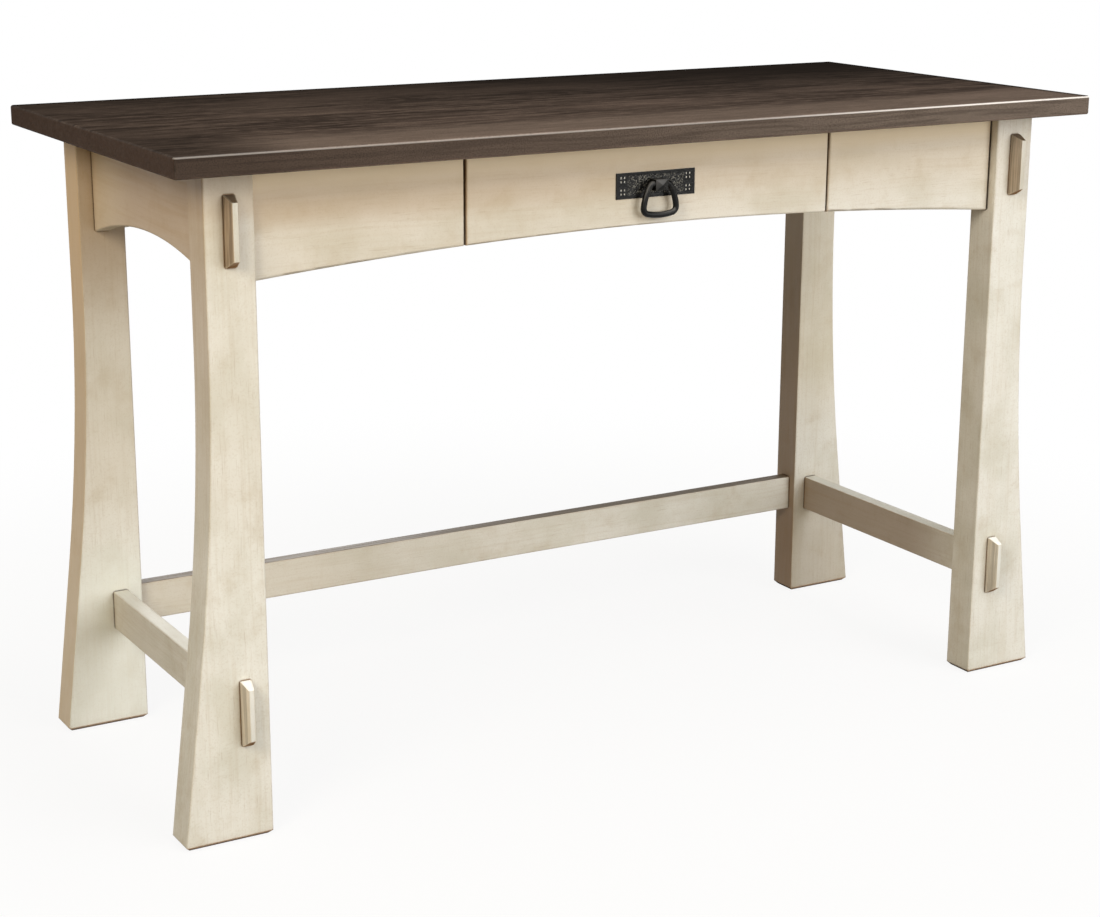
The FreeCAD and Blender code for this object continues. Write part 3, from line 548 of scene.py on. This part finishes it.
node_finishes = {
    top_stain: ["desk_top"],
    painted_upright: ["front_left_leg", "front_right_leg", "back_left_leg", "back_right_leg"],
    painted_across: ["front_left_panel", "front_right_panel", "back_apron", "back_stretcher",
                     "drawer_sub_rail"],
    painted_drawer: ["drawer_front"],
    painted_front_to_back: ["left_side_apron", "right_side_apron", "left_side_stretcher",
                            "right_side_stretcher", "left_drawer_bearer", "right_drawer_bearer"],
    maple_across: ["drawer_box_front", "drawer_back"],
    maple_front_to_back: ["drawer_left_side", "drawer_right_side"],
    drawer_plywood: ["drawer_bottom"],
    plated_steel: ["left_slide_cabinet_member", "left_slide_middle_member", "left_slide_drawer_member",
                   "right_slide_cabinet_member", "right_slide_middle_member", "right_slide_drawer_member",
                   "top_clips"],
}
for finish, nodes in node_finishes.items():
    for node in nodes:
        frame["nodes"][node].data.materials.clear()
        frame["nodes"][node].data.materials.append(finish)


# Pieces made here, each in the place of its plain solid
smooth_below = radians(32)
eased_above = radians(25)
flat_below = radians(2)


def piece(name, bm, finish, body, node):
    """A finished mesh that rides on a body and stands for a node."""
    mesh = bpy.data.meshes.new(name)
    bm.to_mesh(mesh)
    bm.free()
    mesh.shade_smooth()
    mesh.set_sharp_from_angle(angle=smooth_below)
    mesh.materials.append(finish)
    made = bpy.data.objects.new(name, mesh)
    bpy.context.scene.collection.objects.link(made)
    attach(made, body)
    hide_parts(node)


def solid_copy(node):
    """A node's own mesh, its loose triangles joined into one skin."""
    bm = bmesh.new()
    bm.from_mesh(frame["nodes"][node].data)
    bmesh.ops.remove_doubles(bm, verts=bm.verts, dist=0.002 * mm)
    return bm


def eased_edges(node, width, lift=0.0):
    """A node's own shape with its sharp edges eased, and the lower end of its front face raised by the lift."""
    bm = solid_copy(node)
    bmesh.ops.dissolve_limit(bm, angle_limit=flat_below, verts=bm.verts, edges=bm.edges)
    low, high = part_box(node)
    for vert in bm.verts:
        if vert.co.y - low.y < 0.1 * mm and vert.co.z < (low.z + high.z) / 2:
            vert.co.z += lift
    sharp = [edge for edge in bm.edges if edge.is_manifold and edge.calc_face_angle() > eased_above]
    bmesh.ops.bevel(bm, geom=sharp, offset=width, offset_type="OFFSET", segments=2, profile=0.5,
                    affect="EDGES", clamp_overlap=True, material=-1)
    return bm


# Pull
plate_border = 2.2 * mm
plate_dimple = 2.3 * mm
plate_dimple_depth = 0.35 * mm
plate_dimple_sharpness = 2.2
plate_back_beyond = 0.6 * mm  # deeper than any dimple
pierce_size = 2.4 * mm
pierce_pitch = 4.7 * mm
pierce_group_x = 89.5 * mm
pierce_group_z = 14.3 * mm


def hammered_plate():
    """Pierced plate with a flat border, a hammered middle and a flat back, made lying down and stood up."""
    low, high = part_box("pull_plate")
    middle = (low + high) / 2
    half_width = (high.x - low.x) / 2
    half_height = (high.z - low.z) / 2
    thickness = high.y - low.y
    columns, rows = [[side * group / 2 + step * pierce_pitch / 2 for side in (-1, 1) for step in (-1, 1)]
                     for group in (pierce_group_x, pierce_group_z)]
    bm = bmesh.new()
    bmesh.ops.create_grid(bm, x_segments=150, y_segments=42, size=1.0)
    bmesh.ops.scale(bm, vec=(half_width, half_height, 1.0), verts=bm.verts)
    for across, lines in ((Vector((1, 0, 0)), columns), (Vector((0, 1, 0)), rows)):
        for line in lines:
            for side in (-1, 1):
                bmesh.ops.bisect_plane(bm, geom=bm.verts[:] + bm.edges[:] + bm.faces[:], dist=0.00001 * mm,
                                       plane_co=across * (line + side * pierce_size / 2), plane_no=across)

    def nearest(value, lines):
        return min(abs(value - line) for line in lines)

    def pierced(face):
        spot = face.calc_center_median()
        return nearest(spot.x, columns) < pierce_size / 2 and nearest(spot.y, rows) < pierce_size / 2

    def eased_in(distance):
        """0 up to an edge, rising to 1 at a millimetre from it."""
        return max(0.0, min(1.0, distance / mm))

    bmesh.ops.delete(bm, geom=[face for face in bm.faces if pierced(face)], context="FACES")
    for vert in bm.verts:
        spot = vert.co
        to_edge = min(half_width - abs(spot.x), half_height - abs(spot.y)) - plate_border
        to_hole = max(nearest(spot.x, columns) - pierce_size, nearest(spot.y, rows) - pierce_size)
        fade = eased_in(to_edge) * eased_in(to_hole)
        blow = noise.voronoi(Vector((spot.x, spot.y, 0.0)) / plate_dimple)[0][0]
        vert.co.z = -plate_dimple_depth * fade * max(0.0, 1.0 - blow * blow * plate_dimple_sharpness)
    bmesh.ops.solidify(bm, geom=bm.faces[:], thickness=thickness)
    for vert in bm.verts:
        if abs(vert.co.z) > plate_back_beyond:
            vert.co.z = thickness if vert.co.z > 0 else -thickness
    bmesh.ops.rotate(bm, verts=bm.verts, cent=(0, 0, 0), matrix=Matrix.Rotation(pi / 2, 3, "X"))
    bmesh.ops.translate(bm, verts=bm.verts, vec=(middle.x, low.y, middle.z))
    bmesh.ops.recalc_face_normals(bm, faces=bm.faces)
    return bm


# The ring's half outline, as bends of a bar that starts beside the post: radius, angle and steps of each.
# The bottom between the two halves is one shallow bow.
ring_bar = 3.6 * mm
ring_journal = 2.6 * mm
ring_shoulder = 8.95 * mm
ring_half = [(6.0 * mm, radians(58), 10), (55.0 * mm, radians(27), 10), (7.0 * mm, radians(83), 14)]
ring_bow = radians(12)
ring_bow_steps = 12
ring_unevenness = 0.1 * mm
ring_waves = 260


def bend(x, z, heading, radius, angle):
    """The centre of a bend, then where it ends and the bar's heading there."""
    centre_x, centre_z = x - radius * sin(heading), z - radius * cos(heading)
    heading += angle
    end = (centre_x + radius * sin(heading), centre_z + radius * cos(heading), heading)
    return (centre_x, centre_z), end


def forged_ring():
    """Stirrup of round bar bent in one plane, its two ends joined by the thinner journal."""
    pivot = Vector(next(joint["pos_m"] for joint in frame["joints"] if joint["name"] == "ring_swing"))
    lying_along_x = Matrix.Rotation(pi / 2, 3, "Y")
    start = (ring_shoulder, pivot.z, 0.0)
    bow_start = start
    for radius, angle, _ in ring_half:
        bow_start = bend(*bow_start, radius, angle)[1]
    bow = (bow_start[0] / sin(ring_bow), 2 * ring_bow, ring_bow_steps)
    bm = bmesh.new()
    section = bmesh.ops.create_circle(bm, segments=22, radius=ring_bar)["verts"]
    bmesh.ops.rotate(bm, verts=section, cent=(0, 0, 0), matrix=lying_along_x)
    bmesh.ops.translate(bm, verts=section, vec=(ring_shoulder, pivot.y, pivot.z))
    bar_end = section + bm.edges[:]
    reached = start
    for radius, angle, steps in [*ring_half, bow, *ring_half[::-1]]:
        (centre_x, centre_z), reached = bend(*reached, radius, angle)
        bar_end = bmesh.ops.spin(bm, geom=bar_end, cent=(centre_x, pivot.y, centre_z), axis=(0, 1, 0),
                                 angle=angle, steps=steps)["geom_last"]
    bmesh.ops.holes_fill(bm, edges=[edge for edge in bm.edges if edge.is_boundary], sides=0)
    for vert in bm.verts:
        vert.co += vert.normal * ring_unevenness * noise.noise(vert.co * ring_waves)
    journal = bmesh.ops.create_cone(bm, cap_ends=True, segments=20, radius1=ring_journal,
                                    radius2=ring_journal, depth=2 * ring_shoulder + 1 * mm)["verts"]
    bmesh.ops.rotate(bm, verts=journal, cent=(0, 0, 0), matrix=lying_along_x)
    bmesh.ops.translate(bm, verts=journal, vec=pivot)
    bmesh.ops.recalc_face_normals(bm, faces=bm.faces)
    return bm


# Screws. The head's half outline and the cross in it are in shares of the head's radius and height.
screw_head = 3.6 * mm
screw_head_height = 2.2 * mm
screw_shank = 1.9 * mm
head_outline = [(0.0, 0.0), (0.45, -0.05), (0.78, -0.25), (0.95, -0.55), (1.0, -0.85), (0.98, -1.0)]
cross_arm, cross_reach, cross_depth = 0.17, 0.62, 0.55
first_turn, next_turn = 0.4, 1.3


def islands(bm):
    """The separate solids of a mesh, each as a list of points."""
    left = dict.fromkeys(bm.verts)
    found = []
    while left:
        reached = [next(iter(left))]
        left.pop(reached[0])
        for vert in reached:
            for edge in vert.link_edges:
                other = edge.other_vert(vert)
                if other in left:
                    left.pop(other)
                    reached.append(other)
        found.append([vert.co.copy() for vert in reached])
    return found


def head_of(points):
    """The middle of a plain screw's head, the way that it faces, and the screw's length."""
    low = Vector([min(point[way] for point in points) for way in range(3)])
    high = Vector([max(point[way] for point in points) for way in range(3)])
    long_way = max(range(3), key=lambda way: high[way] - low[way])
    length = high[long_way] - low[long_way]
    middle = (low + high) / 2
    widest = max(points, key=lambda point: (point - middle).length_squared
                 - (point[long_way] - middle[long_way]) ** 2)
    facing = Vector((0.0, 0.0, 0.0))
    facing[long_way] = 1.0 if widest[long_way] > middle[long_way] else -1.0
    return middle + facing * length / 2, facing, length


def corners_of(faces):
    return list(dict.fromkeys(vert for face in faces for vert in face.verts))


def cross_head_screw(bm, place, facing, length, turn):
    """One pan-head screw, turned from its half outline, with a cross sunk into its head."""
    points = [(screw_head * out, screw_head_height * down) for out, down in head_outline]
    points += [(screw_shank, -screw_head_height), (screw_shank, -length + 2 * screw_shank), (0.0, -length)]
    verts = [bm.verts.new((out, 0.0, down)) for out, down in points]
    edges = [bm.edges.new(pair) for pair in zip(verts, verts[1:])]
    before = set(bm.faces)
    bmesh.ops.spin(bm, geom=verts + edges, cent=(0, 0, 0), axis=(0, 0, 1), angle=2 * pi, steps=18,
                   use_merge=True)

    def made():
        return [face for face in bm.faces if face not in before]

    bmesh.ops.remove_doubles(bm, verts=corners_of(made()), dist=0.001 * mm)
    dome = [face for face in made() if face.calc_center_median().z > -0.5 * screw_head_height]
    arm, reach = cross_arm * screw_head, cross_reach * screw_head
    for across in (Vector((1, 0, 0)), Vector((0, 1, 0))):
        for line in (-reach, -arm, arm, reach):
            dome_edges = dict.fromkeys(edge for face in dome for edge in face.edges)
            cut = bmesh.ops.bisect_plane(bm, geom=[*dome, *dome_edges, *corners_of(dome)], dist=0.0001 * mm,
                                         plane_co=across * line, plane_no=across)
            dome = [item for item in cut["geom"] if isinstance(item, bmesh.types.BMFace)]

    def in_cross(face):
        spot = face.calc_center_median()
        return min(abs(spot.x), abs(spot.y)) < arm and max(abs(spot.x), abs(spot.y)) < reach

    sunk = bmesh.ops.extrude_face_region(bm, geom=[face for face in dome if in_cross(face)])["geom"]
    bmesh.ops.translate(bm, verts=[item for item in sunk if isinstance(item, bmesh.types.BMVert)],
                        vec=(0, 0, -cross_depth * screw_head_height))
    screw = corners_of(made())
    aim = Vector((0, 0, 1)).rotation_difference(facing).to_matrix() @ Matrix.Rotation(turn, 3, "Z")
    bmesh.ops.rotate(bm, verts=screw, cent=(0, 0, 0), matrix=aim)
    bmesh.ops.translate(bm, verts=screw, vec=place)


def cross_head_screws(node):
    """A screw in the place of each plain one of a node, every cross turned another way."""
    plain = solid_copy(node)
    bm = bmesh.new()
    for count, points in enumerate(islands(plain)):
        cross_head_screw(bm, *head_of(points), first_turn + next_turn * count)
    plain.free()
    bmesh.ops.recalc_face_normals(bm, faces=bm.faces)
    return bm


for level, bevel_lift in (("upper", 2 * mm), ("lower", 4 * mm)):
    for side in ("left", "right"):
        cap = level + "_" + side
        piece(cap + "_eased_cap", eased_edges(cap + "_tenon_cap", 0.5 * mm, bevel_lift), painted_cap,
              "desk", cap + "_tenon_cap")
piece("hammered_plate", hammered_plate(), hammered_iron, "drawer", "pull_plate")
piece("pyramid_post", eased_edges("pull_post", 0.45 * mm), broadly_lit_iron, "drawer", "pull_post")
piece("forged_ring", forged_ring(), forged_iron, "pull_ring", "pull_ring")
for screws, body in (("top_clip_screws", "desk"), ("sub_rail_screws", "desk"), ("bearer_screws", "desk"),
                     ("slide_cabinet_screws", "desk"), ("slide_drawer_screws", "drawer"),
                     ("drawer_front_screws", "drawer"), ("pull_bolt", "drawer")):
    piece("cross_head_" + screws, cross_head_screws(screws), plated_steel, body, screws)


# Studio: a white room and floor, the floor with a faint shadow under the desk. A large soft light from the
# front right, a smaller warm one from the left, a weak one from above, and a low one from behind.
white = (1.0, 1.0, 1.0, 1.0)


def white_to_camera(tree):
    """1 for rays that see the background: from the camera, in gloss and through glass."""
    path = add(tree, "LightPath", {}).outputs
    seen = reckon(tree, "MAXIMUM", path["Is Camera Ray"], path["Is Glossy Ray"])
    return reckon(tree, "MAXIMUM", seen, path["Is Transmission Ray"])


def studio_floor():
    """A wide floor that glows white to the camera, a little less under the desk, where its shadow shows."""
    bm = bmesh.new()
    bmesh.ops.create_grid(bm, x_segments=1, y_segments=1, size=60.0)
    mesh = bpy.data.meshes.new("studio_floor")
    bm.to_mesh(mesh)
    bm.free()
    floor = bpy.data.objects.new("studio_floor", mesh)
    bpy.context.scene.collection.objects.link(floor)
    finish, tree, shader, place = new_finish("white_floor")
    from_middle = add(tree, "VectorMath", {0: place}, operation="LENGTH").outputs["Value"]
    seen = white_to_camera(tree)
    paper = wash(tree, seen, shade(150, 138, 120), shade(245, 244, 242))
    feed(tree, shader, {"Base Color": paper, "Roughness": 0.9, "Specular IOR Level": 0.0})
    glow = add(tree, "Emission", {"Color": white, "Strength": 1.0})
    share = product(tree, span(tree, from_middle, 0.6, 1.6, 0.89, 1.0), seen)
    blended = add(tree, "MixShader", {0: share, 1: shader.outputs[0], 2: glow.outputs[0]})
    feed(tree, tree.nodes["Material Output"], {"Surface": blended.outputs[0]})
    mesh.materials.append(finish)


def studio_world():
    """White to the camera, and a dim warm grey as light."""
    world = bpy.data.worlds.new("white_studio")
    world.use_nodes = True
    tree = world.node_tree
    sky = wash(tree, white_to_camera(tree), (0.25, 0.23, 0.2, 1.0), white)
    feed(tree, tree.nodes["Background"], {"Color": sky})
    bpy.context.scene.world = world


def soft_light(name, place, aim, size, power, colour):
    """A round soft light, aimed at a point on the desk."""
    lamp = bpy.data.lights.new(name, "AREA")
    lamp.shape = "DISK"
    lamp.size = size
    lamp.energy = power
    lamp.color = colour
    light = bpy.data.objects.new(name, lamp)
    light.location = place
    light.rotation_euler = (Vector(aim) - Vector(place)).to_track_quat("-Z", "Y").to_euler()
    bpy.context.scene.collection.objects.link(light)


# The photograph's camera, fitted to the desk's right angles: width and focal length in pixels, place in
# metres, turns in radians. The film's width is in millimetres.
photo_width, photo_focal_length = 1100, 2211.58
camera_place = (-1.39322, -2.35014, 1.06308)
camera_heading, camera_pitch, camera_roll = -0.5292, 0.26676, 0.00353
film_width = 36.0


def studio_camera():
    """Stands where the photograph was taken from, with the same lens."""
    lens = bpy.data.cameras.new("camera")
    lens.sensor_width = film_width
    lens.lens = film_width * photo_focal_length / photo_width
    camera = bpy.data.objects.new("camera", lens)
    turn = (Matrix.Rotation(camera_heading, 4, "Z") @ Matrix.Rotation(pi / 2 - camera_pitch, 4, "X")
            @ Matrix.Rotation(camera_roll, 4, "Z"))
    camera.matrix_world = Matrix.Translation(camera_place) @ turn
    bpy.context.scene.collection.objects.link(camera)
    bpy.context.scene.camera = camera


studio_floor()
studio_world()
soft_light("key_light", (1.8, -4.3, 1.8), (0.0, 0.0, 0.45), 4.2, 161.0, (1.0, 1.0, 1.0))
soft_light("left_light", (-2.4, -1.6, 2.0), (-0.3, 0.0, 0.4), 1.4, 46.0, (1.0, 0.9, 0.74))
soft_light("overhead_light", (0.6, -0.6, 3.1), (0.0, 0.0, 0.7), 2.2, 22.0, (1.0, 1.0, 1.0))
soft_light("back_light", (1.0, 3.4, 0.45), (0.0, 0.0, 0.4), 1.2, 40.0, (1.0, 0.98, 0.95))
studio_camera()
bpy.context.scene.view_settings.view_transform = "Standard"
